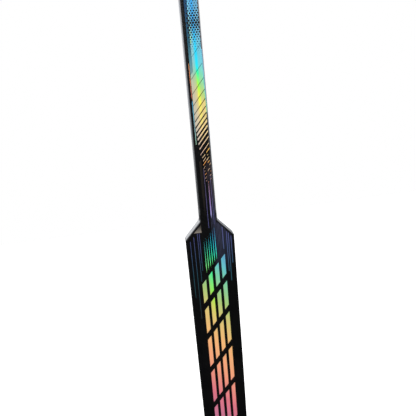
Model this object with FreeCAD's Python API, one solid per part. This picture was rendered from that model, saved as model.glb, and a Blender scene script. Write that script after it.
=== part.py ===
"""Hockey goalie stick, built from the pieces that are bonded into the real one.

A hollow carbon shaft stands in the top of a wide foam-cored paddle, and a curved foam-cored blade is
spliced to the paddle's lower end. A plug closes the shaft's upper end and pulls out.

Frame: the origin is on the shaft's centreline at the neck, where the shoulders start. +Z runs up the
shaft, +X points to the side that the blade's toe is on, and -Y is the front (forehand) face.
Lengths are in millimetres and angles in degrees.
"""

import FreeCAD, Part
import math
import os

from FreeCAD import Vector

# Shaft: a hollow tube with rounded corners, measured from the neck to the butt end
shaft_width = 31.0
shaft_depth = 20.0
shaft_corner_radius = 5.0
shaft_length = 680.0
shaft_wall = 1.8
corner_blend_length = 10.0

# Tenon: the shaft's thinner lower end, bonded inside the paddle
tenon_length = 170.0
tenon_wall = 1.6
tenon_web_height = 8.0

# Paddle: as deep as the shaft at the shoulders, measured from the neck to the heel
paddle_width = 89.0
paddle_length = 660.0
collar_height = 12.0
shoulder_drop = 32.0
neck_radius = 8.0
shoulder_radius = 4.0
taper_start = 255.0

# Skins: moulded carbon half shells of the paddle and the blade
skin_thickness = 1.2
edge_wall = 2.0
edge_radius = 2.5

# Blade: a curved, slightly rockered board
lie_number = 14.0
blade_length = 390.0
blade_heel_height = 92.0
blade_toe_height = 85.0
blade_heel_depth = 12.0
blade_toe_depth = 8.0
heel_radius = 34.0
throat_radius = 24.0
toe_top_round_share = 0.35
toe_bottom_round_share = 0.48
rocker_sag = 5.0
curve_start = 130.0
curve_offset = 20.0

# Splice: the slanted joint between paddle and blade, above the throat
splice_rise = 32.0
tongue_width = 44.0
tongue_reach = 68.0

# Stiffeners inside the paddle and the blade
spine_width = 8.0
paddle_rail_width = 9.0
bridge_thickness = 3.0
bridge_height = 42.0
blade_rail_height = 8.0

# Butt plug: a cap on the shaft's end and a hollow stem in its bore
plug_length = 45.0
plug_wall = 2.2
plug_clearance = 0.15
plug_cap_height = 7.0
plug_cap_round = 3.0
plug_lead_in_share = 0.6

# How far cuts run past what they cut
overrun = 25.0

# A lie of 5 opens the blade to 135 degrees from the shaft, and each further step closes it by 1.5
lie_base = 5.0
lie_base_angle = 135.0
lie_step_angle = 1.5
square_angle = 90.0

half_width = paddle_width / 2
half_shaft = shaft_width / 2
tenon_bottom = collar_height - tenon_length
tenon_width = shaft_width - 2 * edge_wall
paddle_room_depth = shaft_depth - 2 * skin_thickness
heel_room_depth = blade_heel_depth - 2 * skin_thickness
bore_width = shaft_width - 2 * shaft_wall
bore_depth = shaft_depth - 2 * shaft_wall
bore_radius = max(shaft_corner_radius - shaft_wall, shaft_wall)
half_prism = shaft_depth + curve_offset + overrun
same_place = edge_radius / 10
reach = shaft_length + paddle_length + blade_length

# The blade's own directions: along its bottom from the heel, and up its face
blade_angle = lie_base_angle - (lie_number - lie_base) * lie_step_angle - square_angle
blade_fall = math.radians(blade_angle)
along_blade = Vector(math.cos(blade_fall), 0, -math.sin(blade_fall))
up_blade = Vector(math.sin(blade_fall), 0, math.cos(blade_fall))
heel = Vector(-half_width, 0, -paddle_length)


def blade_point(along, up, y=0):
    """A point at a distance along the blade from the heel, a height above its bottom and a y."""
    return heel + along_blade * along + up_blade * up + Vector(0, y, 0)


# The throat is where the blade's top edge meets the paddle's right edge
top_slope = (blade_toe_height - blade_heel_height) / blade_length
throat_along = (paddle_width - blade_heel_height * up_blade.x) / (along_blade.x + top_slope * up_blade.x)
throat = blade_point(throat_along, blade_heel_height + top_slope * throat_along)
splice = throat + up_blade * splice_rise
tongue_top = splice.z + splice.x * math.tan(blade_fall) + tongue_reach
bridge_bottom = blade_point(0, bridge_height)
bridge_top = blade_point(0, bridge_height + bridge_thickness)


def line(start, end):
    return Part.LineSegment(start, end).toShape()


def chain(points):
    """Straight edges from point to point."""
    return [line(a, b) for a, b in zip(points, points[1:])]


def face_of(edges):
    return Part.Face(Part.Wire(edges))


def one_solid(shape):
    """The single solid that a cut or a joint leaves, with its split faces merged."""
    solids = shape.removeSplitter().Solids
    if len(solids) != 1:
        raise ValueError(f"expected one solid and found {len(solids)}")
    return solids[0]


def centred_box(width, depth, low, high):
    """A box centred on the shaft's line, from z low to z high."""
    return Part.makeBox(width, depth, high - low, Vector(-width / 2, -depth / 2, low))


def rounded_section(width, depth, radius, z):
    """A rectangle with round corners, square to the shaft at height z."""
    bulge = radius * (1 - math.sqrt(0.5))
    edges = []
    for corner in range(4):
        turn = FreeCAD.Rotation(Vector(0, 0, 1), corner * square_angle)
        x, y = (width / 2, depth / 2) if corner % 2 == 0 else (depth / 2, width / 2)
        arc_points = [Vector(x, y - radius, z), Vector(x - bulge, y - bulge, z), Vector(x - radius, y, z)]
        side_end = Vector(radius - x, y, z)
        edges.append(Part.Arc(*[turn.multVec(p) for p in arc_points]).toShape())
        edges.append(line(turn.multVec(arc_points[-1]), turn.multVec(side_end)))
    return Part.Wire(edges)


def rounded_bar(width, depth, radius, low, high):
    """A bar with round corners along the shaft's line."""
    return Part.Face(rounded_section(width, depth, radius, low)).extrude(Vector(0, 0, high - low))


def space_above(point):
    """All space above a line through a point that runs along the blade."""
    space = Part.makeBox(2 * reach, 2 * reach, 2 * reach, Vector(-reach, -reach, 0))
    space.Placement = FreeCAD.Placement(point, FreeCAD.Rotation(Vector(0, 1, 0), blade_angle))
    return space


def space_beside(sign, inner):
    """All space further out than a distance from the shaft's line, on the left (-1) or the right (1)."""
    low_x = inner if sign > 0 else -inner - reach
    return Part.makeBox(reach, 2 * reach, 2 * reach, Vector(low_x, -reach, -reach))


def corner_edge(prism, corner):
    """The edge of a prism along Y that stands on a corner of its outline."""
    for edge in prism.Edges:
        offsets = [v.Point - corner for v in edge.Vertexes]
        if all(abs(o.x) + abs(o.z) < same_place for o in offsets):
            return edge
    raise ValueError(f"no edge stands at {corner}")


def stick_outline():
    """The front outline of collar, paddle and blade as a deep prism along Y, with its corners rounded."""
    collar = [Vector(x, 0, collar_height) for x in (-half_shaft, half_shaft)]
    neck = [Vector(x, 0, 0) for x in (-half_shaft, half_shaft)]
    shoulder = [Vector(x, 0, -shoulder_drop) for x in (-half_width, half_width)]
    toe_top = blade_point(blade_length, blade_toe_height)
    toe_bottom = blade_point(blade_length, 0)
    rocker_middle = blade_point(blade_length / 2, -rocker_sag)
    edges = chain([collar[0], collar[1], neck[1], shoulder[1], throat, toe_top, toe_bottom])
    edges.append(Part.Arc(toe_bottom, rocker_middle, heel).toShape())
    edges += chain([heel, shoulder[0], neck[0], collar[0]])
    face = face_of(edges)
    face.translate(Vector(0, -half_prism, 0))
    prism = face.extrude(Vector(0, 2 * half_prism, 0))
    rounds = [(point, neck_radius) for point in neck]
    rounds += [(point, shoulder_radius) for point in shoulder]
    rounds += [
        (throat, throat_radius),
        (toe_top, toe_top_round_share * blade_toe_height),
        (toe_bottom, toe_bottom_round_share * blade_toe_height),
        (heel, heel_radius),
    ]
    for corner, radius in rounds:
        prism = prism.makeFillet(radius, [corner_edge(prism, corner)])
    return prism


def inset_outline(prism):
    """The same prism with its outline drawn in by the skins' edge wall."""
    front = min(prism.Faces, key=lambda f: f.CenterOfMass.y)
    drawn_in = Part.Face(front.OuterWire).makeOffset2D(-edge_wall)
    return Part.Face(drawn_in.OuterWire).extrude(Vector(0, 2 * half_prism, 0))


def paddle_slab(inset):
    """The paddle's side profile as a slab across X, drawn in on both faces by an inset.

    It is as deep as the shaft down to the taper, where two arcs ease it to the heel's depth.
    """
    taper_top = -taper_start
    run = taper_top - tongue_top
    step = (shaft_depth - blade_heel_depth) / 2
    radius = (run**2 + step**2) / (4 * step)
    bow = radius - math.sqrt(radius**2 - (run / 4) ** 2)

    def side(sign):
        deep, thin = sign * (shaft_depth / 2 - inset), sign * (blade_heel_depth / 2 - inset)
        above, start = Vector(0, deep, collar_height), Vector(0, deep, taper_top)
        end, below = Vector(0, thin, tongue_top), Vector(0, thin, -reach)
        middle = (start + end) / 2
        first = Part.Arc(start, Vector(0, deep - sign * bow, taper_top - run / 4), middle)
        second = Part.Arc(middle, Vector(0, thin + sign * bow, tongue_top + run / 4), end)
        return [line(above, start), first.toShape(), second.toShape(), line(end, below)], above, below

    front, front_top, front_foot = side(-1)
    back, back_top, back_foot = side(1)
    face = face_of(front + [line(front_foot, back_foot)] + back[::-1] + [line(back_top, front_top)])
    face.translate(Vector(-reach, 0, 0))
    return face.extrude(Vector(2 * reach, 0, 0))


def blade_slab(front, back):
    """The blade seen along its height, between two curved lines, as a slab that runs up and down the blade.

    front and back are each a y at the heel and a y at the toe. A line runs straight from behind the heel
    to the start of the curve, then bends in one tangent arc, on past the toe.
    """

    def side(heel_y, toe_y):
        span, bend = blade_length - curve_start, heel_y - toe_y
        radius = (span**2 + bend**2) / (2 * bend)
        steps = (0, (span + overrun) / 2, span + overrun)
        arc = [blade_point(curve_start + s, 0, heel_y - radius + math.sqrt(radius**2 - s**2)) for s in steps]
        start = blade_point(-reach, 0, heel_y)
        return [line(start, arc[0]), Part.Arc(*arc).toShape()], start, arc[-1]

    front_edges, front_start, front_end = side(*front)
    back_edges, back_start, back_end = side(*back)
    loop = front_edges + [line(front_end, back_end)] + back_edges[::-1] + [line(back_start, front_start)]
    face = face_of(loop)
    face.translate(up_blade * -reach)
    return face.extrude(up_blade * (2 * reach))


def blade_layer(inset):
    """The blade's slab at its full depth, drawn in on both faces by an inset."""
    at_heel, at_toe = blade_heel_depth / 2 - inset, blade_toe_depth / 2 - inset
    return blade_slab((-at_heel, -curve_offset - at_toe), (at_heel, at_toe - curve_offset))


def round_rim(solid, prism):
    """Rounds the rims where front and back meet the outline, but not at the collar or the splice."""
    by_depth = sorted(prism.Faces, key=lambda f: f.CenterOfMass.y)
    walls = Part.makeCompound(by_depth[1:-1])

    def is_rim(edge):
        ends = [v.Point for v in edge.Vertexes]
        middle = edge.valueAt((edge.FirstParameter + edge.LastParameter) / 2)
        at_collar = all(abs(p.z - collar_height) < same_place for p in ends)
        at_splice = all(abs((p - splice).dot(up_blade)) < same_place for p in ends)
        through = all(abs(p.x - middle.x) + abs(p.z - middle.z) < same_place for p in ends)
        on_wall = walls.distToShape(Part.Vertex(middle))[0] < same_place
        return on_wall and not (at_collar or at_splice or through)

    return solid.makeFillet(edge_radius, [edge for edge in solid.Edges if is_rim(edge)])


def make_shaft_tube():
    """The shaft: a tube whose corners sharpen just above the collar, with the tenon below."""
    blend_top = collar_height + corner_blend_length
    blend_sections = [
        rounded_section(shaft_width, shaft_depth, edge_radius, collar_height),
        rounded_section(shaft_width, shaft_depth, shaft_corner_radius, blend_top),
    ]
    blend = Part.makeLoft(blend_sections, True, True)
    bar = rounded_bar(shaft_width, shaft_depth, shaft_corner_radius, blend_top, shaft_length)
    tenon = centred_box(tenon_width, paddle_room_depth, tenon_bottom, collar_height)
    web_top = collar_height + tenon_web_height
    bore = rounded_bar(bore_width, bore_depth, bore_radius, web_top, shaft_length + overrun)
    tenon_bore_width = tenon_width - 2 * tenon_wall
    tenon_bore_depth = paddle_room_depth - 2 * tenon_wall
    tenon_bore = centred_box(tenon_bore_width, tenon_bore_depth, tenon_bottom - overrun, web_top)
    return one_solid(bar.fuse([blend, tenon]).cut([bore, tenon_bore]))


def make_butt_plug():
    """The butt plug: a rounded cap that sits on the shaft's end, and a hollow stem with a lead-in."""
    cap_top = shaft_length + plug_cap_height
    cap = rounded_bar(shaft_width, shaft_depth, shaft_corner_radius, shaft_length, cap_top)
    top_face = max(cap.Faces, key=lambda f: f.CenterOfMass.z)
    cap = cap.makeFillet(plug_cap_round, top_face.Edges)
    stem_width, stem_depth = bore_width - 2 * plug_clearance, bore_depth - 2 * plug_clearance
    stem_foot = shaft_length - plug_length
    stem = rounded_bar(stem_width, stem_depth, bore_radius - plug_clearance, stem_foot, shaft_length)
    foot_face = min(stem.Faces, key=lambda f: f.CenterOfMass.z)
    stem = stem.makeChamfer(plug_lead_in_share * plug_wall, foot_face.Edges)
    hollow_width, hollow_depth = stem_width - 2 * plug_wall, stem_depth - 2 * plug_wall
    hollow = centred_box(hollow_width, hollow_depth, stem_foot - overrun, shaft_length)
    return one_solid(cap.fuse(stem).cut(hollow))


def make_splice_tongue():
    """The splice tongue: a bar from inside the paddle, through the splice, down onto the blade's bridge."""
    bar = centred_box(tongue_width, heel_room_depth, -reach, tongue_top)
    return one_solid(bar.common(space_above(bridge_top)))


def make_paddle(prism, room_prism, above_splice, tongue):
    """The paddle's two skins and what they enclose: spine, edge rails and foam cores round the tenon."""
    form = round_rim(one_solid(prism.common(paddle_slab(0)).common(above_splice)), prism)
    room = one_solid(room_prism.common(paddle_slab(skin_thickness)).common(above_splice))
    tenon = centred_box(tenon_width, paddle_room_depth, tenon_bottom, collar_height + overrun)
    spine_bar = centred_box(spine_width, shaft_depth, tongue_top, tenon_bottom)
    pieces = {"paddle_spine": one_solid(spine_bar.common(room))}
    rail_inner = half_width - edge_wall - paddle_rail_width
    for side, sign in (("left", -1), ("right", 1)):
        rail = one_solid(room.common(space_beside(sign, rail_inner)))
        core = room.common(space_beside(sign, 0)).cut([rail, tenon, spine_bar, tongue])
        pieces[f"paddle_rail_{side}"] = rail
        pieces[f"paddle_core_{side}"] = one_solid(core)
    shell = form.cut([room, tenon])
    front_space = Part.makeBox(2 * reach, reach, 2 * reach, Vector(-reach, -reach, -reach))
    pieces["paddle_front_skin"] = one_solid(shell.common(front_space))
    pieces["paddle_back_skin"] = one_solid(shell.cut(front_space))
    return pieces


def make_blade(prism, room_prism, above_splice, tongue):
    """The blade's two skins and what they enclose: bridge, bottom rail and three foam cores."""
    form = round_rim(one_solid(prism.common(blade_layer(0)).cut(above_splice)), prism)
    room = one_solid(room_prism.common(blade_layer(skin_thickness)).cut(above_splice))
    above_bridge, from_bridge_up = space_above(bridge_top), space_above(bridge_bottom)
    lower_room = room.cut(from_bridge_up)
    above_rail = prism.copy()
    above_rail.translate(up_blade * (edge_wall + blade_rail_height))
    rail = one_solid(lower_room.cut(above_rail))
    upper_cores = room.common(above_bridge).cut(tongue).Solids
    heel_core, upper_core = sorted(upper_cores, key=lambda solid: solid.CenterOfMass.x)
    shell = form.cut(room)
    front_space = blade_slab((-reach / 2, -curve_offset - reach / 2), (0, -curve_offset))
    return {
        "blade_front_skin": one_solid(shell.common(front_space)),
        "blade_back_skin": one_solid(shell.cut(front_space)),
        "blade_core_heel": one_solid(heel_core),
        "blade_core_upper": one_solid(upper_core),
        "blade_core_lower": one_solid(lower_room.cut(rail)),
        "blade_bridge": one_solid(room.common(from_bridge_up).cut(above_bridge)),
        "blade_bottom_rail": rail,
    }


def make_pieces():
    """Every piece of the stick by its name."""
    prism = stick_outline()
    room_prism = inset_outline(prism)
    above_splice = space_above(splice)
    tongue = make_splice_tongue()
    pieces = {
        "shaft_tube": make_shaft_tube(),
        "butt_plug": make_butt_plug(),
        "splice_tongue": tongue,
    }
    pieces.update(make_paddle(prism, room_prism, above_splice, tongue))
    pieces.update(make_blade(prism, room_prism, above_splice, tongue))
    return pieces


def main():
    os.makedirs("parts", exist_ok=True)
    for name, solid in make_pieces().items():
        solid.exportStep(f"parts/{name}.step")
        print(f"{name}: {solid.Volume:.0f} mm3, {len(solid.Faces)} faces, valid {solid.isValid()}")


main()
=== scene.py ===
# %% [markdown]
# # A hockey goalie stick
#
# The stick is one long hand-laid piece: a hollow shaft, a wide paddle below it and a curved blade at
# the foot. The shapes come packed from CAD, so this lesson gives them their finish: black lacquered
# carbon, a moulded plug in the butt end, and thin iridescent foil pressed on the front.
# The CAD box is measured first, and its lowest point sets the height of the floor.

# %% Load the stick
import math
import random

import bmesh
import bpy
from mathutils import Matrix, Vector
from mathutils.bvhtree import BVHTree


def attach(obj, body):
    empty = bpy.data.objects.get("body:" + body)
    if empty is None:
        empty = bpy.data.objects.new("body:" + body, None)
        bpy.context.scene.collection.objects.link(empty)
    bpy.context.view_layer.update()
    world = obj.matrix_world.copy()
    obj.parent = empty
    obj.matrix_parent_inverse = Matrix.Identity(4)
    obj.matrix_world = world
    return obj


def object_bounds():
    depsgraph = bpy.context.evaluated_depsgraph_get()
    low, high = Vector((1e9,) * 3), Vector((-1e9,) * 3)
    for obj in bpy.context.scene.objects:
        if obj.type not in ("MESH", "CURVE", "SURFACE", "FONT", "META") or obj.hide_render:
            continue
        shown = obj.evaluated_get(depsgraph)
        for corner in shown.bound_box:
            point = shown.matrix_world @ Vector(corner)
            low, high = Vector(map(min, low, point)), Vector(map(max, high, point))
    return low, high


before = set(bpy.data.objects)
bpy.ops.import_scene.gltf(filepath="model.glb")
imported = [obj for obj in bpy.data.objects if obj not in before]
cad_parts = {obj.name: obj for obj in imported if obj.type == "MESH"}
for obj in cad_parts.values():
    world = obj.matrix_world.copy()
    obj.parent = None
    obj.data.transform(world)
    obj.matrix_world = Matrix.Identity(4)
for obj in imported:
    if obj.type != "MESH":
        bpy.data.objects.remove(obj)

cad_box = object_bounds()
print("pieces from CAD:", ", ".join(sorted(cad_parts)))
print("CAD box in metres:", [[round(value, 4) for value in corner] for corner in cad_box])

# %% [markdown]
# ## Where the picture was taken from
#
# The photograph looks down at the neck of the stick from the left, close by, with the camera leaning
# a little. The place, heading, tilt and lean were worked out from the edges of the shaft and paddle.
# A lens is easiest to match in pixels: the focal length in pixels times the sensor's width, divided
# by the picture's width, is the focal length in millimetres.

# %% Camera
MM = 0.001
PICTURE_WIDTH = 416      # pixels
FOCAL_PIXELS = 462.0
SENSOR_WIDTH = 36.0      # mm, full frame
CAMERA_PLACE_MM = (-93.4, -784.7, 277.5)
CAMERA_HEADING, CAMERA_TILT, CAMERA_LEAN = -6.92, 18.0, -5.09   # degrees

lens = bpy.data.cameras.new("camera")
lens.sensor_width = SENSOR_WIDTH
lens.lens = FOCAL_PIXELS * lens.sensor_width / PICTURE_WIDTH
camera = bpy.data.objects.new("camera", lens)
camera.matrix_world = (
    Matrix.Translation(Vector(CAMERA_PLACE_MM) * MM)
    @ Matrix.Rotation(math.radians(CAMERA_HEADING), 4, "Z")
    @ Matrix.Rotation(math.radians(90.0 - CAMERA_TILT), 4, "X")
    @ Matrix.Rotation(math.radians(CAMERA_LEAN), 4, "Z")
)
bpy.context.scene.collection.objects.link(camera)
bpy.context.scene.camera = camera
bpy.context.scene.view_settings.view_transform = "Standard"
print("lens", round(lens.lens, 2), "mm")

# %% [markdown]
# ## Two helpers for every finish
#
# Colours are easiest to read as the hex values of a screen, but Blender mixes light in linear values,
# so one function turns the first into the second. The other adds a node: plain values go on its
# sockets, sockets of other nodes are linked to it, and stops fill a colour ramp.

# %% Colour and node helpers
def linear(hex_colour):
    """An sRGB hex colour as the linear RGBA that Blender mixes."""
    parts = [int(hex_colour[i:i + 2], 16) / 255 for i in (1, 3, 5)]
    return [p / 12.92 if p <= 0.04045 else ((p + 0.055) / 1.055) ** 2.4 for p in parts] + [1.0]


def add(tree, kind, inputs=None, stops=None, **settings):
    """One node with its settings, its input values or links, and the stops of its colour ramp."""
    node = tree.nodes.new("ShaderNode" + kind)
    for name, value in settings.items():
        setattr(node, name, value)
    for name, value in (inputs or {}).items():
        if isinstance(value, bpy.types.NodeSocket):
            tree.links.new(value, node.inputs[name])
        else:
            node.inputs[name].default_value = value
    for i, (place, colour) in enumerate(stops or []):
        ramp = node.color_ramp.elements
        stop = ramp[i] if i < 2 else ramp.new(1.0)
        stop.position, stop.color = place, linear(colour)
    return node


def new_finish(name):
    """An empty material with the place of each point in millimetres, and its output node."""
    finish = bpy.data.materials.new(name)
    finish.use_nodes = True
    tree = finish.node_tree
    tree.nodes.clear()
    place = add(tree, "TexCoord").outputs["Object"]
    in_mm = add(tree, "VectorMath", {0: place, "Scale": 1 / MM}, operation="SCALE").outputs[0]
    return finish, tree, in_mm, add(tree, "OutputMaterial")


def dress(node_names, finish):
    """Gives CAD pieces a finish."""
    for name in node_names:
        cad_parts[name].data.materials.clear()
        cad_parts[name].data.materials.append(finish)
    print(finish.name, "on", ", ".join(node_names))


print("black lacquer in linear light:", [round(value, 4) for value in linear("#0b0b0d")])

# %% [markdown]
# ## Carbon laminate under black lacquer
#
# The skins and the shaft are carbon cloth set in epoxy, pressed in a polished mould and sprayed with a
# smoked clear lacquer. From a step away that is plain black. Near a highlight the cloth shows through:
# flat tows about two millimetres wide, each going over two and under two, which is a 2 by 2 twill.
# The twill could be modelled, but it lies under the lacquer, so a bump on the lower layer alone is
# truer. The coat above it has only the soft waves of a sprayed film, which painters call orange peel.

# %% Carbon laminate
TOW_WIDTH = 2.0          # mm, the width of a 3K carbon tow in the cloth
TWILL_REPEAT = 4         # tows until the weave repeats: over two, under two
TOW_CROWN = 0.10         # mm, how far a tow stands above its edges
WARP_SHEEN = 0.35        # how much lighter the warp looks than the weft
SMOKE_SPREAD = 70.0      # mm, a hand's breadth, in which the lacquer's smoke varies
PEEL_WAVE, PEEL_HEIGHT = 3.0, 0.1   # mm, the waves of the sprayed lacquer

laminate, tree, in_mm, output = new_finish("clear_lacquered_carbon_twill")
axes = add(tree, "SeparateXYZ", {0: in_mm}).outputs
# X plus Y carries the cloth on round the corner from the broad face to the narrow side.
across = add(tree, "Math", {0: axes["X"], 1: axes["Y"]}, operation="ADD").outputs[0]
warp = add(tree, "Math", {0: across, 1: TOW_WIDTH}, operation="DIVIDE").outputs[0]
weft = add(tree, "Math", {0: axes["Z"], 1: TOW_WIDTH}, operation="DIVIDE").outputs[0]
warp_count = add(tree, "Math", {0: warp}, operation="FLOOR").outputs[0]
weft_count = add(tree, "Math", {0: weft}, operation="FLOOR").outputs[0]
step = add(tree, "Math", {0: warp_count, 1: weft_count}, operation="ADD").outputs[0]
turn = add(tree, "Math", {0: step, 1: TWILL_REPEAT}, operation="FLOORED_MODULO").outputs[0]
warp_on_top = add(tree, "Math", {0: turn, 1: TWILL_REPEAT / 2}, operation="LESS_THAN").outputs[0]
warp_crown = add(tree, "Math", {0: warp, 1: 0.5}, operation="PINGPONG").outputs[0]
weft_crown = add(tree, "Math", {0: weft, 1: 0.5}, operation="PINGPONG").outputs[0]
crown = add(tree, "Mix", {"Factor": warp_on_top, "A": weft_crown, "B": warp_crown}).outputs[0]
# A crown runs from 0 to a half, so twice the height is given.
relief = add(tree, "Bump", {"Height": crown, "Strength": 0.6, "Distance": 2 * TOW_CROWN * MM})
# Warp and weft catch the light differently, and the lacquer's smoke varies by the hand's breadth.
smoke = add(tree, "TexNoise", {"Vector": in_mm, "Scale": 1 / SMOKE_SPREAD, "Detail": 3.0}).outputs[0]
depth = add(tree, "Math", {0: warp_on_top, 1: WARP_SHEEN, 2: smoke}, operation="MULTIPLY_ADD").outputs[0]
black = add(tree, "ValToRGB", {0: depth}, stops=[(0.25, "#020203"), (1.0, "#09090a")])
rough = add(tree, "MapRange", {"Value": depth, "To Min": 0.34, "To Max": 0.46})
waves = add(tree, "TexNoise", {"Vector": in_mm, "Scale": 1 / PEEL_WAVE, "Detail": 1.0}).outputs[0]
peel = add(tree, "Bump", {"Height": waves, "Strength": 0.08, "Distance": PEEL_HEIGHT * MM})
# Epoxy and lacquer have an IOR near 1.5. The smoke in the lacquer swallows most of what the cloth mirrors.
carbon = add(tree, "BsdfPrincipled", {
    "Base Color": black.outputs[0], "Roughness": rough.outputs[0], "Normal": relief.outputs[0],
    "IOR": 1.5, "Specular IOR Level": 0.18,
    "Coat Weight": 1.0, "Coat IOR": 1.5, "Coat Roughness": 0.08, "Coat Normal": peel.outputs[0],
})
tree.links.new(carbon.outputs[0], output.inputs["Surface"])
dress(["shaft_tube", "paddle_front_skin", "paddle_back_skin", "blade_front_skin",
       "blade_back_skin"], laminate)

# %% [markdown]
# ## Moulded ABS for the butt plug
#
# The plug closes the hollow shaft. It is moulded ABS from a spark-eroded mould, so its skin has a fine
# even grain that breaks reflections into a soft grey sheen. The grain is a bump; the real pits are
# about a tenth of a millimetre across and are drawn four times as coarse, so that they show.

# %% ABS plug
PIT_SIZE = 0.4           # mm, drawn coarser than the real 0.1 mm grain so that it shows
PIT_DEPTH = 0.05         # mm

plug_skin, tree, in_mm, output = new_finish("spark_textured_moulded_abs")
grain = add(tree, "TexNoise", {"Vector": in_mm, "Scale": 1 / PIT_SIZE, "Detail": 2.0}).outputs[0]
relief = add(tree, "Bump", {"Height": grain, "Strength": 0.5, "Distance": PIT_DEPTH * MM})
tone = add(tree, "ValToRGB", {0: grain}, stops=[(0.3, "#17171a"), (0.7, "#202024")])
rough = add(tree, "MapRange", {"Value": grain, "To Min": 0.48, "To Max": 0.62})
abs_plastic = add(tree, "BsdfPrincipled", {
    "Base Color": tone.outputs[0], "Roughness": rough.outputs[0], "Normal": relief.outputs[0],
    "IOR": 1.54,
})
tree.links.new(abs_plastic.outputs[0], output.inputs["Surface"])
dress(["butt_plug"], plug_skin)

# %% [markdown]
# ## What is inside: foam and glass fibre
#
# The cores are closed-cell foam and the rails, spine, bridge and tongue are glass cloth in epoxy.
# None of it shows on a whole stick, but each piece still gets its own finish, for anyone who takes
# the model apart: a cream foam with half-millimetre cells, and a green-grey laminate with long strands.

# %% Foam and glass fibre
CELL_SIZE, CELL_DEPTH = 0.5, 0.2        # mm, the cells of a rigid foam, cut open
STRAND_WIDTH, STRAND_HEIGHT = 0.8, 0.1  # mm, bundles of glass fibre along the rail
STRAND_STRETCH = 40                     # times as long as wide

foam, tree, in_mm, output = new_finish("closed_cell_rigid_foam")
cells = add(tree, "TexVoronoi", {"Vector": in_mm, "Scale": 1 / CELL_SIZE}).outputs["Distance"]
tone = add(tree, "ValToRGB", {0: cells}, stops=[(0.1, "#b9a878"), (0.7, "#e3d8b4")])
relief = add(tree, "Bump", {"Height": cells, "Strength": 0.6, "Distance": CELL_DEPTH * MM})
cut_foam = add(tree, "BsdfPrincipled", {
    "Base Color": tone.outputs[0], "Normal": relief.outputs[0], "Roughness": 0.9, "IOR": 1.4,
})
tree.links.new(cut_foam.outputs[0], output.inputs["Surface"])
dress(["paddle_core_left", "paddle_core_right", "blade_core_heel", "blade_core_upper",
       "blade_core_lower"], foam)

glass, tree, in_mm, output = new_finish("pressed_glass_fibre_laminate")
long_way = add(tree, "Mapping", {"Vector": in_mm, "Scale": (
    1 / STRAND_WIDTH, 1 / STRAND_WIDTH, 1 / (STRAND_STRETCH * STRAND_WIDTH))}).outputs[0]
strands = add(tree, "TexNoise", {"Vector": long_way, "Scale": 1.0, "Detail": 3.0}).outputs[0]
tone = add(tree, "ValToRGB", {0: strands}, stops=[(0.3, "#7c8268"), (0.7, "#a9ac8c")])
relief = add(tree, "Bump", {"Height": strands, "Strength": 0.3, "Distance": STRAND_HEIGHT * MM})
glass_fibre = add(tree, "BsdfPrincipled", {
    "Base Color": tone.outputs[0], "Normal": relief.outputs[0], "Roughness": 0.4, "IOR": 1.55,
})
tree.links.new(glass_fibre.outputs[0], output.inputs["Surface"])
dress(["paddle_rail_left", "paddle_rail_right", "paddle_spine", "splice_tongue", "blade_bridge",
       "blade_bottom_rail"], glass)

# %% [markdown]
# ## Iridescent stamping foil
#
# The bright parts of the front are stamping foil: a film of aluminium with a grating pressed into it,
# under the same lacquer. A grating spreads light into its spectrum, so the colour slides along the
# stick, in bands that lean across it, and the spectrum is met twice between the butt end and the blade.
# Blender has no grating, so colour ramps in millimetres stand for it: a pale spectrum for most of the
# foil, and a vivid one painted as a glint along the line where the grating faces the light. Each film
# also carries two numbers, one that slides its colours and one that gives it a share of the painted
# glint, so that films side by side differ.

# %% Spectrum of the foil
PALE = ["#5ea4c6", "#66c4cc", "#7cd2a6", "#a8ce7a", "#dcca78", "#fcbe7a", "#fca680", "#e87888", "#9a7cb4"]
# The colours of the painted glint, where the grating faces the light.
GLINT_SPECTRUM = ["#2ca0e0", "#10d8ee", "#2cea9a", "#9cf040", "#ece84a", "#f8c858", "#fa9858", "#ea6e80", "#8c72dc"]
SHAFT_WARM = {5: "#e8c896", 6: "#dab096", 7: "#cc948c"}   # by their place in the list, greyer on the shaft
UPPER_ROUND = (335, 280, 256, 238, 220, 154, 122, 92, 45)           # mm above the neck, blue to violet
LOWER_ROUND = (-46, -72, -100, -150, -192, -250, -318, -388, -560)  # the same colours below it
TOP_END, FOOT_END = 560.0, -600.0       # mm, where the ramps begin and end
SHADED_TOP_BLUE = "#2c4670"                  # painted shade: the foil far up the shaft, where it faces the dark


def ramp_stops(colours):
    """Colours by their height on the stick, turned into the 0 to 1 of a colour ramp from the foot up."""
    length = TOP_END - FOOT_END
    return sorted(((height - FOOT_END) / length, colour) for height, colour in colours.items())


def met_twice(spectrum):
    """The two rounds of a spectrum down the stick, and the painted shade at the dark end above them."""
    on_shaft = [SHAFT_WARM.get(place, colour) for place, colour in enumerate(spectrum)]
    rounds = list(zip(UPPER_ROUND, on_shaft)) + list(zip(LOWER_ROUND, spectrum))
    return ramp_stops(dict(rounds) | {TOP_END: SHADED_TOP_BLUE})


print("spectrum of", len(PALE), "colours over", UPPER_ROUND[0] - LOWER_ROUND[-1], "mm")

# %% Colours along the foil
BAND_LEAN = 1.2          # mm down the stick for each mm to the right
RIB_PITCH, RIB_HEIGHT = 0.9, 0.1        # mm, drawn far coarser than the grating's micrometre so that it shows
RIB_STRETCH = 90         # times as long as wide
RIB_WAVER = 14.0         # mm, how far a rib slides the colours up or down

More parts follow.
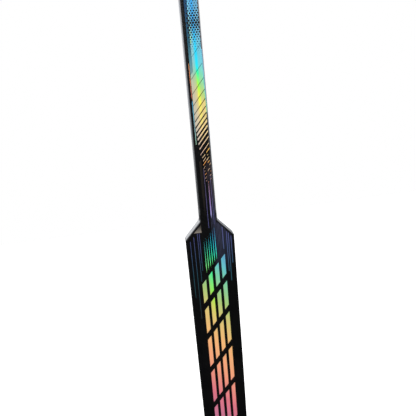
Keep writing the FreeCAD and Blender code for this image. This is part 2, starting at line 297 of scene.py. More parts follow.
foil, tree, in_mm, output = new_finish("embossed_rainbow_stamping_foil")
axes = add(tree, "SeparateXYZ", {0: in_mm}).outputs
slide = add(tree, "Attribute", attribute_name="hue_slide").outputs["Fac"]
# Each film's share of the painted glint.
painted_glint = add(tree, "Attribute", attribute_name="painted_glint").outputs["Fac"]
ribs_at = add(tree, "Mapping", {"Vector": in_mm, "Scale": (
    1 / RIB_PITCH, 1 / RIB_PITCH, 1 / (RIB_STRETCH * RIB_PITCH))}).outputs[0]
ribs = add(tree, "TexNoise", {"Vector": ribs_at, "Scale": 1.0, "Detail": 2.0}).outputs[0]
waver = add(tree, "MapRange", {"Value": ribs, "To Min": -RIB_WAVER, "To Max": RIB_WAVER}).outputs[0]
leaning = add(tree, "Math", {0: axes["X"], 1: BAND_LEAN, 2: axes["Z"]},
              operation="MULTIPLY_ADD").outputs[0]
slid = add(tree, "Math", {0: leaning, 1: slide}, operation="ADD").outputs[0]
height = add(tree, "Math", {0: slid, 1: waver}, operation="ADD").outputs[0]
along = add(tree, "MapRange", {"Value": height, "From Min": FOOT_END, "From Max": TOP_END}).outputs[0]
pale = add(tree, "ValToRGB", {0: along}, stops=met_twice(PALE)).outputs[0]
glint_colours = add(tree, "ValToRGB", {0: along}, stops=met_twice(GLINT_SPECTRUM)).outputs[0]
print(foil.name, "with ribs every", RIB_PITCH, "mm")

# %% [markdown]
# ## The painted glint on the foil, and where it is dull
#
# Along one line the grating faces the light, and there a glint is painted: the colours turn vivid. The
# line is narrow on the shaft, crosses over and widens at the top of the paddle, and then dies away. On
# the shaft's left half the colours are mixed with a dull silver. Both are masks in millimetres: how far a
# point is from a line, and on which side of an edge it lies.

# %% Painted glint and surface of the foil
GLINT_SHAFT, GLINT_PADDLE = 3.0, -3.5   # mm across, the line of the painted glint on each of them
GLINT_CORE = 1.0         # mm from that line, the full painted glint
RIM_SHAFT, RIM_PADDLE = 3.4, 8.5        # mm from that line, the end of the painted glint
GLINT_TURN = (60.0, -110.0)             # mm, between these heights the line crosses over and widens
GLINT_FADE = (-150.0, -205.0)           # mm, between these it dies away
DULL_SILVER, DULL_SHARE = "#acafb0", 0.62
DULL_EDGE = (1.0, -5.0)  # mm across, from full colour to dull
DULL_HEIGHTS = {90: "#000000", 150: "#ffffff", 285: "#ffffff", 325: "#000000"}   # mm, white where it shows

turning = {"Value": axes["Z"], "From Min": GLINT_TURN[0], "From Max": GLINT_TURN[1]}
line = add(tree, "MapRange", turning | {"To Min": GLINT_SHAFT, "To Max": GLINT_PADDLE}).outputs[0]
rim = add(tree, "MapRange", turning | {"To Min": RIM_SHAFT, "To Max": RIM_PADDLE}).outputs[0]
off_line = add(tree, "Math", {0: axes["X"], 1: line}, operation="SUBTRACT").outputs[0]
distance = add(tree, "Math", {0: off_line}, operation="ABSOLUTE").outputs[0]
glint = add(tree, "MapRange", {"Value": distance, "From Min": GLINT_CORE, "From Max": rim,
                               "To Min": 1.0, "To Max": 0.0}, interpolation_type="SMOOTHSTEP").outputs[0]
lasting = add(tree, "MapRange", {"Value": axes["Z"], "From Min": GLINT_FADE[0], "From Max": GLINT_FADE[1],
                                 "To Min": 1.0, "To Max": 0.0}).outputs[0]
fading = add(tree, "Math", {0: glint, 1: lasting}, operation="MULTIPLY").outputs[0]
# The painted glint: its line, or a film's own share of it, whichever is the more.
glint_mix = add(tree, "Math", {0: fading, 1: painted_glint}, operation="MAXIMUM").outputs[0]
spectrum = add(tree, "MixRGB", {0: glint_mix, 1: pale, 2: glint_colours}).outputs[0]
left_half = add(tree, "MapRange", {"Value": axes["X"], "From Min": DULL_EDGE[0], "From Max": DULL_EDGE[1],
                                   "To Max": DULL_SHARE}).outputs[0]
on_shaft = add(tree, "ValToRGB", {0: along}, stops=ramp_stops(DULL_HEIGHTS)).outputs[0]
dull = add(tree, "Math", {0: left_half, 1: on_shaft}, operation="MULTIPLY").outputs[0]
hue = add(tree, "MixRGB", {0: dull, 1: spectrum, 2: linear(DULL_SILVER)}).outputs[0]
relief = add(tree, "Bump", {"Height": ribs, "Strength": 0.15, "Distance": RIB_HEIGHT * MM})
rough = add(tree, "MapRange", {"Value": ribs, "To Min": 0.4, "To Max": 0.6})
# Bare aluminium is all metal, but a grating scatters most of the light, so only a fifth is left to mirror.
metal_film = add(tree, "BsdfPrincipled", {
    "Base Color": hue, "Roughness": rough.outputs[0], "Normal": relief.outputs[0],
    "Metallic": 0.2, "Coat Weight": 0.5, "Coat IOR": 1.5, "Coat Roughness": 0.08,
})
tree.links.new(metal_film.outputs[0], output.inputs["Surface"])
print(foil.name, "flashes at", GLINT_SHAFT, "mm right of the shaft's middle")

# %% [markdown]
# ## Pearl inks for the quiet lines
#
# Around the neck the print is quieter: violet and blue pearl ink, screen printed, that lets the black
# through. It is a pigment and not a metal, so it keeps its colour from any side. Its ramp also runs
# down the stick, from steel blue and mauve above the neck to blue and olive grey on the paddle, and its
# navy upper end draws a painted shade high on the shaft. Mica has a faint metal lustre, and the lacquer
# over the ink shines as it does on the carbon.
# A second, smoked ink is almost as dark as the lacquer and only tints it; it draws a painted sheen and
# one brown line. A third, warm grey one draws a painted reflection: a small wedge at the neck that
# brightens to its foot.

# %% Pearl inks
# Colours by their height in mm above the neck. The navy upper end of the first is painted shade, the lower
# stops of the second a painted sheen, and the third a painted reflection.
PEARL_AND_SHADE = {480: "#1c2434", 345: "#22486a", 300: "#2c5a6c", 272: "#568c98", 248: "#7c9890", 140: "#584c4c",
         40: "#625c88", -30: "#50568c", -110: "#2a5a68", -220: "#3c3a2c"}
SMOKED_AND_SHEEN = {420: "#26211c", 140: "#1e1a1b", 90: "#3e3539", 12: "#38394c", -40: "#34384a", -140: "#070708"}
WEDGE_REFLECTION_GREYS = {-6: "#3a3734", -13: "#4e4a45", -19: "#857d74"}
MICA_SIZE = 0.6          # mm, flakes of about 0.05 mm drawn coarser so that they show


def pearl_ink_and_painted_light(name, colours):
    """Mica flakes in clear ink: a soft shimmer over colours that run down the stick; the colours also draw
    painted shade, sheen and reflection.
    """
    finish, tree, in_mm, output = new_finish(name)
    along_z = add(tree, "SeparateXYZ", {0: in_mm}).outputs["Z"]
    slide = add(tree, "Attribute", attribute_name="hue_slide").outputs["Fac"]
    slid = add(tree, "Math", {0: along_z, 1: slide}, operation="ADD").outputs[0]
    along = add(tree, "MapRange", {"Value": slid, "From Min": FOOT_END, "From Max": TOP_END}).outputs[0]
    tint = add(tree, "ValToRGB", {0: along}, stops=ramp_stops(colours)).outputs[0]
    mica = add(tree, "TexNoise", {"Vector": in_mm, "Scale": 1 / MICA_SIZE, "Detail": 1.0}).outputs[0]
    rough = add(tree, "MapRange", {"Value": mica, "To Min": 0.34, "To Max": 0.46})
    ink = add(tree, "BsdfPrincipled", {
        "Base Color": tint, "Roughness": rough.outputs[0], "Metallic": 0.15, "IOR": 1.5,
        "Specular IOR Level": 0.18, "Coat Weight": 1.0, "Coat IOR": 1.5, "Coat Roughness": 0.08,
    })
    tree.links.new(ink.outputs[0], output.inputs["Surface"])
    print(name, "with", len(colours), "stops")
    return finish


pearl_ink_and_shade = pearl_ink_and_painted_light("pearl_ink_and_painted_shade", PEARL_AND_SHADE)
smoked_ink_and_sheen = pearl_ink_and_painted_light("smoked_ink_and_painted_sheen", SMOKED_AND_SHEEN)
painted_reflection_grey = pearl_ink_and_painted_light("warm_grey_painted_reflection", WEDGE_REFLECTION_GREYS)

# %% [markdown]
# ## Black screen ink
#
# Plain screen ink dries matt and a little uneven, with pinholes about as wide as the mesh of the
# screen. It prints black dots over the foil, and being matt it stays dark where the foil shines.

# %% Black ink
SCREEN_MESH = 0.5        # mm, drawn coarser than the real 0.1 mm mesh so that it shows

black_ink, tree, in_mm, output = new_finish("matt_black_screen_ink")
mottle = add(tree, "TexNoise", {"Vector": in_mm, "Scale": 1 / SCREEN_MESH, "Detail": 2.0}).outputs[0]
tint = add(tree, "ValToRGB", {0: mottle}, stops=[(0.3, "#070708"), (0.7, "#101012")]).outputs[0]
rough = add(tree, "MapRange", {"Value": mottle, "To Min": 0.5, "To Max": 0.7})
ink = add(tree, "BsdfPrincipled", {
    "Base Color": tint, "Roughness": rough.outputs[0], "IOR": 1.5, "Specular IOR Level": 0.2,
})
tree.links.new(ink.outputs[0], output.inputs["Surface"])
print(black_ink.name, "with a mesh of", SCREEN_MESH, "mm")

# %% [markdown]
# ## Laying a film on the front
#
# A film is about as thin as a hair and follows whatever it is pressed on. The way to make one is to draw
# its outline flat, in millimetres seen from the front, cut it into small faces, drop every corner
# straight back onto the CAD surface and then give it a thickness. A ray cast finds the surface, so the
# film goes over the shaft's rounded corners and down the taper of the paddle by itself.

# %% Film maker
FILM_PROUD = 0.08        # mm, foil and lacquer above the laminate
FILM_ROOT = 0.02         # mm, pressed into the laminate, so that no gap shows at the edge
CUT_ACROSS, CUT_ALONG = 1.5, 8.0        # mm, the small faces of a film
CUT_CLOSE = 1e-7         # m, corners nearer to a cut than this lie on it
SMOOTH_ANGLE = 40.0      # degrees, sharper edges stay sharp

front_surfaces = [
    BVHTree.FromPolygons([v.co for v in piece.data.vertices],
                         [p.vertices for p in piece.data.polygons])
    for piece in (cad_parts[name] for name in ("shaft_tube", "paddle_front_skin"))
]


def front_at(x, z):
    """Where a straight line from the front meets the stick, as its Y."""
    start, backward = Vector((x, -1.0, z)), Vector((0.0, 1.0, 0.0))
    hits = [surface.ray_cast(start, backward)[0] for surface in front_surfaces]
    return min(hit.y for hit in hits if hit is not None)


def cut_small(film, face):
    """Cuts a flat face into small ones on an upright grid, and gives back its corners."""
    parts = bmesh.ops.triangulate(film, faces=[face], ngon_method="EAR_CLIP")["faces"]
    parts += list({edge for part in parts for edge in part.edges})
    parts += list({vert for part in parts if isinstance(part, bmesh.types.BMFace) for vert in part.verts})
    for facing, gap in ((Vector((1, 0, 0)), CUT_ACROSS * MM), (Vector((0, 0, 1)), CUT_ALONG * MM)):
        reach = [part.co.dot(facing) for part in parts if isinstance(part, bmesh.types.BMVert)]
        for i in range(math.ceil(min(reach) / gap), math.floor(max(reach) / gap) + 1):
            parts = bmesh.ops.bisect_plane(film, geom=parts, plane_co=facing * (i * gap),
                                           plane_no=facing, dist=CUT_CLOSE)["geom"]
    return [part for part in parts if isinstance(part, bmesh.types.BMVert)]


def lay_film(name, shapes, finish, proud=FILM_PROUD):
    """Flat outlines, each with a slide of its colours and a share of painted glint, pressed on the front as
    one piece.
    """
    film = bmesh.new()
    hue_slide = film.verts.layers.float.new("hue_slide")
    painted_glint = film.verts.layers.float.new("painted_glint")
    for outline, slide, glint_share in shapes:
        face = film.faces.new([film.verts.new((x * MM, 0.0, z * MM)) for x, z in outline])
        for vert in cut_small(film, face):
            vert[hue_slide], vert[painted_glint] = slide, glint_share
    for vert in film.verts:
        vert.co.y = front_at(vert.co.x, vert.co.z) + FILM_ROOT * MM
    grown = bmesh.ops.extrude_face_region(film, geom=film.faces[:])["geom"]
    for part in grown:
        if isinstance(part, bmesh.types.BMVert):
            part.co.y -= (FILM_ROOT + proud) * MM
    bmesh.ops.recalc_face_normals(film, faces=film.faces[:])
    open_edges = sum(1 for edge in film.edges if len(edge.link_faces) != 2)
    mesh = bpy.data.meshes.new(name)
    film.to_mesh(mesh)
    film.free()
    mesh.polygons.foreach_set("use_smooth", [True] * len(mesh.polygons))
    mesh.set_sharp_from_angle(angle=math.radians(SMOOTH_ANGLE))
    mesh.materials.append(finish)
    piece = bpy.data.objects.new(name, mesh)
    bpy.context.scene.collection.objects.link(piece)
    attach(piece, "stick")
    print(name, len(shapes), "shapes,", len(mesh.polygons), "faces,", open_edges, "open edges")


print("the neck's front lies", round(-front_at(0.0, 0.0) / MM, 2), "mm before its middle")

# %% [markdown]
# ## Rows of bars down the paddle
#
# The paddle carries the boldest part of the print: rows of four upright bars, each row taller than the
# one above it, with all ends cut along the same slant. The foil's colours pass through them from aqua
# at the top to rose near the blade. Every shape of a film is an outline, a slide and a share of painted
# glint.

# %% Paddle bars
SLANT = 1.2              # mm up for each mm to the right, the cut of every bar, needle and stripe
BAR_COLUMNS = 4
BAR_LEFT, BAR_WIDTH, BAR_PITCH = -22.5, 7.6, 13.0   # mm, the first bar's left side
ROW_TOP = -124.0         # mm, the uppermost cut at the first bar
ROW_FIRST, ROW_MORE, ROW_GAP = 40.0, 11.0, 15.0     # mm, a bar's height, how much each row adds, the gap
ROWS = 5


def slanted(left, right, top, foot):
    """An upright strip with slanted ends, its top and foot given at its left side."""
    rise = SLANT * (right - left)
    return [(left, top), (left, foot), (right, foot + rise), (right, top + rise)]


bars, top = [], ROW_TOP
for row in range(ROWS):
    foot = top - ROW_FIRST - ROW_MORE * row
    for column in range(BAR_COLUMNS):
        across = BAR_PITCH * column
        bars.append((slanted(BAR_LEFT + across, BAR_LEFT + across + BAR_WIDTH,
                             top + SLANT * across, foot + SLANT * across), 0.0, 0.0))
    top = foot - ROW_GAP
lay_film("paddle_foil_bars", bars, foil)

# %% [markdown]
# ## A comb of needles and the shoulder pinstripes
#
# Between the neck and the bars hangs a comb of foil needles, each a little higher than the one to its
# left. They are slender kites: a fine upper end, the widest place low down, and a short point below it.
# Beside the comb pearl pinstripes run down from the shoulders.

# %% Needles
NEEDLES = 6
NEEDLE_LEFT, NEEDLE_PITCH = -12.0, 4.1  # mm, the middle of the first one, and from one to the next
NEEDLE_WIDTH, NEEDLE_POINT = 1.4, 12.0  # mm
NEEDLE_TOP, NEEDLE_LENGTH = -36.0, 66.0  # mm, the first one
NEEDLE_SLIDE, SLIDE_STEP = -20.0, -3.0  # mm, of its colours, and more for each next one
# the share of painted glint on the first needle, and how much more on each next one
NEEDLE_GLINT, GLINT_STEP = 0.75, 0.05


def kite(middle, width, top, foot, point):
    """A slender upright kite, widest near its foot."""
    return [(middle, top), (middle - width / 2, foot + point), (middle, foot),
            (middle + width / 2, foot + point)]


needles = []
for count in range(NEEDLES):
    across = count * NEEDLE_PITCH
    top = NEEDLE_TOP + SLANT * across
    outline = kite(NEEDLE_LEFT + across, NEEDLE_WIDTH, top, top - NEEDLE_LENGTH, NEEDLE_POINT)
    needles.append((outline, NEEDLE_SLIDE + SLIDE_STEP * count, NEEDLE_GLINT + GLINT_STEP * count))
lay_film("neck_foil_needles", needles, foil)

# %% Pinstripes
PINSTRIPES = {           # place across the paddle: width, top and foot
    -37.0: (0.8, -36, -150), -30.0: (0.8, -28, -196), -23.0: (0.8, -22, -118), -19.5: (0.8, -22, -96),
    23.0: (1.3, -15, -58), 30.0: (1.3, -24, -104), 33.5: (1.3, -28, -124), 38.0: (1.3, -34, -88),
}


def upright(middle, width, top, foot):
    """A straight stripe with square ends."""
    return [(middle - width / 2, top), (middle - width / 2, foot), (middle + width / 2, foot),
            (middle + width / 2, top)]


lay_film("shoulder_pinstripes", [(upright(x, width, top, foot), 0.0, 0.0)
                                 for x, (width, top, foot) in PINSTRIPES.items()], pearl_ink_and_shade)

# %% [markdown]
# ## Slanted stripes up the shaft
#
# The shaft's front is covered with slanted stripes of foil. From the neck up they grow from a hairline
# to a hand's breadth while the gaps between them close, and above the middle they shrink again. The
# lowest ones draw back from the left. A loop lays them one on the other: each is taller than the last by
# the same ratio.

# %% Shaft stripes
FIELD_LEFT, FIELD_RIGHT = -8.6, 12.2    # mm
FIELD_FOOT = 114.0       # mm above the neck, the lowest hairline at its left end
FIELD_MIDDLE = 335.0     # mm, the stripes above it mirror those below
STRIPE_FIRST, STRIPE_RATIO = 1.6, 1.30  # mm, the hairline, and how much taller each next stripe is
GAP_FIRST, GAP_RATIO = 9.0, 0.80        # mm
STRIPE_SLIDES = (0.0, 6.0, -4.0)        # mm, neighbours differ a little in colour
DRIFT_START, DRIFT = 165.0, 0.09        # mm, below this height the left ends move in, and how far for each mm


def left_end(foot):
    """How far left a stripe or a row of dashes reaches, by its foot at the left of the field."""
    return FIELD_LEFT + DRIFT * max(0.0, DRIFT_START - foot)


stripes, foot, thick, gap = [], FIELD_FOOT, STRIPE_FIRST, GAP_FIRST
while foot < FIELD_MIDDLE:
    top = foot + thick
    slide = STRIPE_SLIDES[len(stripes) % len(STRIPE_SLIDES)]
    if top + thick > FIELD_MIDDLE:
        top = 2 * FIELD_MIDDLE - foot
    else:
        mirrored = slanted(FIELD_LEFT, FIELD_RIGHT, 2 * FIELD_MIDDLE - foot, 2 * FIELD_MIDDLE - top)
        stripes.append((mirrored, slide, 0.0))
    left = left_end(foot)
    rise = SLANT * (left - FIELD_LEFT)
    stripes.append((slanted(left, FIELD_RIGHT, top + rise, foot + rise), slide, 0.0))
    foot, thick, gap = top + gap, thick * STRIPE_RATIO, gap * GAP_RATIO
lay_film("shaft_foil_stripes", stripes, foil)

# %% [markdown]
# ## Dashes below the stripes
#
# Under the last hairline the stripes break up: rows of dashes on the same slant, shorter and finer
# towards the neck, most of them pale and every third one bright orange. A loop walks the rows and a seeded
# random number gives each dash its length and place, so the scatter is loose and still the same each time.

# %% Shaft dashes
DASH_ROWS, DASH_COLUMNS = 9, 2
DASH_TOP, DASH_PITCH = 105.0, 6.4       # mm, the first row, and from row to row
DASH_THICK, DASH_THINNEST = 1.5, 0.4    # mm in the first row, and the share of it left in the last
DASH_SHORTEST = 0.2      # share of a column's width
DASH_LONGEST, DASH_LONGER = 0.4, 0.5    # the same for the last row, and how much more in the first
DASH_PROUD = 0.12        # mm, they lie over other films
DASH_KINDS = ((30.0, 0.2), (-400.0, 0.9), (30.0, 0.2))   # slide and share of painted glint: pale, bright orange, pale
DASH_SEED = 5

chance = random.Random(DASH_SEED)
dashes = []
for row in range(DASH_ROWS):
    share = 1 - row / DASH_ROWS
    row_foot = DASH_TOP - row * DASH_PITCH
    row_left = left_end(row_foot)
    column_width = (FIELD_RIGHT - row_left) / DASH_COLUMNS
    thick = DASH_THICK * (DASH_THINNEST + (1 - DASH_THINNEST) * share)
    for column in range(DASH_COLUMNS):
        length = column_width * chance.uniform(DASH_SHORTEST, DASH_LONGEST + DASH_LONGER * share)
        left = row_left + column * column_width + (column_width - length) * chance.random()
        foot = row_foot + SLANT * (left - FIELD_LEFT)
        kind = DASH_KINDS[len(dashes) % len(DASH_KINDS)]
        dashes.append((slanted(left, left + length, foot + thick, foot), *kind))
lay_film("shaft_foil_dashes", dashes, foil, proud=DASH_PROUD)

# %% [markdown]
# ## Lines and dots on the stripes
#
# Narrow foil lines in other colours edge the stripes. A band of dark pearl, painted shade, darkens their
# upper left side and lightens towards its foot. Black dots are printed over the middle, large at the
# centre and small towards the ends, as in a halftone.

# %% Edge lines and the band of painted shade
EDGE_LINES = [   # left, right, top, foot, slide of colours, share of painted glint; the last line is a painted glint
    (-10.2, -9.6, 270, 214, -560, 0.8), (-10.2, -9.2, 210, 138, 125, 0.4),
    (12.5, 13.5, 290, 190, 38, 0.0), (-3.9, -2.5, 400, 300, -50, 0.5),
]
EDGE_PROUD, BAND_PROUD = 0.12, 0.1      # mm
BAND_RIGHT, BAND_TOP, BAND_FOOT = -4.0, 500.0, 252.0    # mm

edge_lines = [(slanted(left, right, top, foot), slide, painted_glint)
              for left, right, top, foot, slide, painted_glint in EDGE_LINES]
lay_film("shaft_foil_lines", edge_lines, foil, proud=EDGE_PROUD)
# Painted shade: dark pearl over the upper left of the stripes, lightening towards its foot.
painted_shade_band = slanted(FIELD_LEFT, BAND_RIGHT, BAND_TOP, BAND_FOOT)
lay_film("shaft_painted_shade_band", [(painted_shade_band, 0.0, 0.0)], pearl_ink_and_shade, proud=BAND_PROUD)

# %% Halftone dots
DOT_PITCH, DOT_ROW_SHARE = 4.4, 0.8     # mm in a row, and the share of it from row to row
DOT_LARGEST, DOT_SHRINK = 1.95, 0.13    # mm, the radius at the centre, and less for each row from it
DOT_ROWS, DOT_COLUMNS, DOT_CORNERS = 12, 5, 12      # rows to each side of the middle one
DOT_INSET, DOT_CLEAR = 3.0, 1.5         # mm from the field's left side: the first column, and no dot nearer
DOT_DROP = 4.0           # mm, the centre below the middle of the field
DOT_PROUD = 0.14         # mm, over all other films


def dot(x, z, radius):
    """A round dot as a polygon."""
    turns = [2 * math.pi * i / DOT_CORNERS for i in range(DOT_CORNERS)]
    return [(x + radius * math.sin(turn), z + radius * math.cos(turn)) for turn in turns]


dots = []
for row in range(-DOT_ROWS, DOT_ROWS + 1):
    for column in range(DOT_COLUMNS):
        # Every other row stands half a pitch to the left.
        x = FIELD_LEFT + DOT_INSET + DOT_PITCH * (column - 0.5 * (row % 2))
        z = FIELD_MIDDLE - DOT_DROP + row * DOT_PITCH * DOT_ROW_SHARE
        if x > FIELD_LEFT + DOT_CLEAR:
            dots.append((dot(x, z, DOT_LARGEST - DOT_SHRINK * abs(row)), 0.0, 0.0))
lay_film("shaft_black_dots", dots, black_ink, proud=DOT_PROUD)

# %% [markdown]
# ## A curtain of painted sheen
#
# A painted sheen, the room mirrored in the lacquer, darkens to violet on the right half of the lower
# shaft and over the right shoulder. It is drawn in smoked pearl as upright lines, the widest in the
# middle, so that from a step away they melt into a tint that fades to both sides. A violet foil kite and
# two quiet pearl lines lead down to the neck, a brown line keeps to the left, and a small wedge of warm
# grey, a painted reflection, fills the corner under the left shoulder.

# %% Painted sheen lines
CURTAIN_LEFT, CURTAIN_PITCH, CURTAIN_LINES = 4.4, 2.5, 14
CURTAIN_MIDDLE, CURTAIN_REACH = 17.0, 26.0          # mm, the widest line, and how far the others go
CURTAIN_WIDEST, CURTAIN_SHORTEST = 1.9, 0.4         # mm, and the share of the length at the sides
CURTAIN_PROUD = 0.04     # mm, under all other films
CURTAIN_TOP, CURTAIN_FOOT = 112.0, -128.0           # mm, on the shaft, and on the paddle
LAST_ON_SHAFT = 12.5     # mm from the middle
BROWN_SLIDE = 250.0      # mm, takes the left line to the brown upper end of the smoked colours
SHOULDER_FALL = 1.1      # mm down for each mm out, the slope of the shoulder
SHOULDER_START, SHOULDER_CLEAR = 15.5, 6.0          # mm, where the slope begins, and how far lines stay below


def pointed(middle, width, top, foot, point):
    """An upright strip with a slanted head and a foot drawn to a point."""
    half = width / 2
    return [(middle - half, top), (middle - half, foot + point), (middle, foot),
            (middle + half, foot + point), (middle + half, top + SLANT * width)]


def sheen_line(x):
    """A line of the painted sheen: wide and long near the middle, fine and short towards the sides."""
    share = 1 - abs(x - CURTAIN_MIDDLE) / CURTAIN_REACH
    on_shoulder = -SHOULDER_FALL * max(0.0, x - SHOULDER_START) - SHOULDER_CLEAR
    top = CURTAIN_TOP if x < LAST_ON_SHAFT else on_shoulder
    foot = CURTAIN_FOOT * (CURTAIN_SHORTEST + (1 - CURTAIN_SHORTEST) * share)
    return pointed(x, CURTAIN_WIDEST * share, top, foot, NEEDLE_POINT)


# Painted sheen: the room mirrored in the lacquer, drawn as smoked pearl lines.
sheen_curtain = [(sheen_line(CURTAIN_LEFT + CURTAIN_PITCH * count), 0.0, 0.0) for count in range(CURTAIN_LINES)]
brown_line = (pointed(middle=-5.4, width=4.0, top=108, foot=8, point=40), BROWN_SLIDE, 0.0)
lay_film("painted_sheen_and_brown_lines", sheen_curtain + [brown_line], smoked_ink_and_sheen, proud=CURTAIN_PROUD)

# %% Lower shaft lines and the painted reflection
VIOLET_SLIDE = 4.0       # mm
WEDGE = [(-15.0, -6.0), (-29.0, -20.8), (-15.0, -20.8)]     # mm, the corner under the left shoulder, a painted reflection

violet_line = kite(middle=5.4, width=2.4, top=72, foot=4, point=8)
lay_film("shaft_violet_line", [(violet_line, VIOLET_SLIDE, 0.0)], foil)
pearl_lines = [upright(middle=-1.0, width=0.8, top=96, foot=-14),
               upright(middle=9.4, width=0.8, top=84, foot=-8)]
lay_film("shaft_pearl_lines", [(outline, 0.0, 0.0) for outline in pearl_lines], pearl_ink_and_shade)
# A painted reflection in warm grey that brightens to its foot.
lay_film("neck_painted_reflection", [(WEDGE, 0.0, 0.0)], painted_reflection_grey)

# %% [markdown]
# ## A white paper floor
#
# The stick stands on the tip of its blade on a pale paper floor. The picture's white ground is not more
# light on the stick: the paper gives camera rays a glow of its own, less near the stick so that the
# shadow stays, and polished faces don't mirror it.

# %% Floor
FLOOR_FRONT, FLOOR_BACK, FLOOR_SIDE = -0.6, 2.4, 2.6     # m from the stick
GLOW_NEAR, GLOW_FAR = 0.62, 1.0         # what the eye is given besides the lamps' light
GLOW_SPREAD = 900.0      # mm from the stick's foot until the ground is plain white
FIBRE_SIZE = 3.0         # mm, drawn coarser than paper fibres so that they show

floor_finish, tree, in_mm, output = new_finish("matt_white_paper_floor")
fibres = add(tree, "TexNoise", {"Vector": in_mm, "Scale": 1 / FIBRE_SIZE, "Detail": 2.0}).outputs[0]
paper = add(tree, "ValToRGB", {0: fibres}, stops=[(0.3, "#f1f1f1"), (0.7, "#f6f6f6")]).outputs[0]
flat = add(tree, "VectorMath", {0: in_mm, 1: (1.0, 1.0, 0.0)}, operation="MULTIPLY").outputs[0]
reach = add(tree, "VectorMath", {0: flat}, operation="LENGTH").outputs["Value"]
near_to_far = add(tree, "MapRange", {"Value": reach, "From Max": GLOW_SPREAD, "To Min": GLOW_NEAR,
                                     "To Max": GLOW_FAR}).outputs[0]
path = add(tree, "LightPath").outputs
seen = add(tree, "Math", {0: path["Is Camera Ray"], 1: path["Is Transmission Ray"]},
           operation="MAXIMUM").outputs[0]
glow = add(tree, "Math", {0: seen, 1: near_to_far}, operation="MULTIPLY").outputs[0]
sheet = add(tree, "BsdfPrincipled", {
    "Base Color": paper, "Roughness": 0.9, "Specular IOR Level": 0.2,
    "Emission Color": (1.0, 1.0, 1.0, 1.0), "Emission Strength": glow,
})
tree.links.new(sheet.outputs[0], output.inputs["Surface"])

floor_height = min(corner[2] for corner in cad_box)
floor_mesh = bpy.data.meshes.new("floor")
floor_mesh.from_pydata(
    [(x, y, floor_height) for y in (FLOOR_FRONT, FLOOR_BACK) for x in (-FLOOR_SIDE, FLOOR_SIDE)],
    [], [(0, 1, 3, 2)])
floor_mesh.materials.append(floor_finish)
floor = bpy.data.objects.new("floor", floor_mesh)
floor.visible_glossy = False
bpy.context.scene.collection.objects.link(floor)
print("floor at", round(floor_height, 4), "m")

# %% [markdown]
# ## White walls behind, a dark room in front
#
# What a black lacquered thing mirrors is most of what the eye sees of it. Camera rays see the world as
# plain white. Glossy rays see a white wall behind the stick that comes forward on the right, and a dark
# room in front of it, which keeps the front black and draws the pale edges.

# %% World
BACK_WALL, LEFT_WALL, RIGHT_WALL = 0.9, 4.6, 3.2   # what a polished edge mirrors on each side
RIGHT_REACH = 0.6        # how far the wall comes forward on the right
# Where each wall begins and is full, in the parts of a direction that is 1 long.
WALL_END, WALL_FOOT = (-0.22, -0.05), (-0.36, 0.05)     # towards the back, and upward
LEFT_TURN, RIGHT_TURN = (-0.55, -0.95), (0.4, 0.95)     # to the right
FOOT_SHARE = 0.02        # what is left of the walls at their foot
ROOM_TINT = "#f4f8ff"    # a little blue, as daylight from a window
ROOM_DARK, ROOM_FILL = 0.010, 0.12      # the dark room in front, and the even light from all round

world = bpy.data.worlds.new("white_walls_and_dark_room")
world.use_nodes = True
tree = world.node_tree
tree.nodes.clear()
toward = add(tree, "SeparateXYZ", {0: add(tree, "TexCoord").outputs["Generated"]}).outputs
to_right = add(tree, "Math", {0: toward["X"], 1: 0.0}, operation="MAXIMUM").outputs[0]
depth = add(tree, "Math", {0: to_right, 1: RIGHT_REACH, 2: toward["Y"]}, operation="MULTIPLY_ADD").outputs[0]
behind = add(tree, "MapRange", {"Value": depth, "From Min": WALL_END[0], "From Max": WALL_END[1]},
             interpolation_type="SMOOTHSTEP").outputs[0]
left = add(tree, "MapRange", {"Value": toward["X"], "From Min": LEFT_TURN[0], "From Max": LEFT_TURN[1],
                              "To Min": BACK_WALL, "To Max": LEFT_WALL},
           interpolation_type="SMOOTHSTEP").outputs[0]
right = add(tree, "MapRange", {"Value": toward["X"], "From Min": RIGHT_TURN[0], "From Max": RIGHT_TURN[1],
                               "To Min": BACK_WALL, "To Max": RIGHT_WALL},
            interpolation_type="SMOOTHSTEP").outputs[0]
walls = add(tree, "Math", {0: left, 1: right}, operation="MAXIMUM").outputs[0]
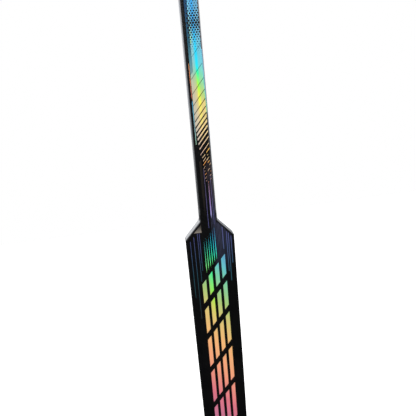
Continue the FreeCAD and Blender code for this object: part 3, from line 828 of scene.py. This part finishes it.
upward = add(tree, "MapRange", {"Value": toward["Z"], "From Min": WALL_FOOT[0], "From Max": WALL_FOOT[1],
                                "To Min": FOOT_SHARE, "To Max": 1.0}).outputs[0]
lit = add(tree, "Math", {0: walls, 1: upward}, operation="MULTIPLY").outputs[0]
tent = add(tree, "Math", {0: lit, 1: behind, 2: ROOM_DARK}, operation="MULTIPLY_ADD").outputs[0]
path = add(tree, "LightPath").outputs
light = add(tree, "Mix", {"Factor": path["Is Glossy Ray"], "A": ROOM_FILL, "B": tent}).outputs[0]
room = add(tree, "Background", {"Color": linear(ROOM_TINT), "Strength": light}).outputs[0]
white = add(tree, "Background", {"Color": (1.0, 1.0, 1.0, 1.0), "Strength": 1.0}).outputs[0]
seen = add(tree, "Math", {0: path["Is Camera Ray"], 1: path["Is Transmission Ray"]},
           operation="MAXIMUM").outputs[0]
shown = add(tree, "MixShader", {0: seen, 1: room, 2: white}).outputs[0]
output = add(tree, "OutputWorld", {"Surface": shown})
bpy.context.scene.world = world
print(world.name, "lit")

# %% [markdown]
# ## Two soft boxes and an edge light
#
# Two large soft boxes stand high in front, left and right, and light the colours evenly. They are high
# so that the upright front mirrors the dark room below them. A narrow light behind on the left brightens
# the top of the left shoulder.

# %% Lamps
LAMPS = {   # place in metres, width, height, watts
    "left_soft_box": ((-1.9, -3.0, 2.1), 1.7, 1.7, 132.0),
    "right_soft_box": ((2.1, -2.8, 2.0), 1.6, 1.6, 122.0),
    "left_edge_light": ((-1.25, 2.5, 0.15), 0.7, 1.6, 5.0),
}
AIM = Vector((0.0, 0.0, -0.05))

for name, (place, width, height, watts) in LAMPS.items():
    lamp = bpy.data.lights.new(name, "AREA")
    lamp.shape = "RECTANGLE"
    lamp.size, lamp.size_y, lamp.energy = width, height, watts
    stand = bpy.data.objects.new(name, lamp)
    stand.location = place
    stand.rotation_euler = (AIM - Vector(place)).to_track_quat("-Z", "Y").to_euler()
    stand.visible_camera = False
    bpy.context.scene.collection.objects.link(stand)
    print(name, watts, "W at", place)
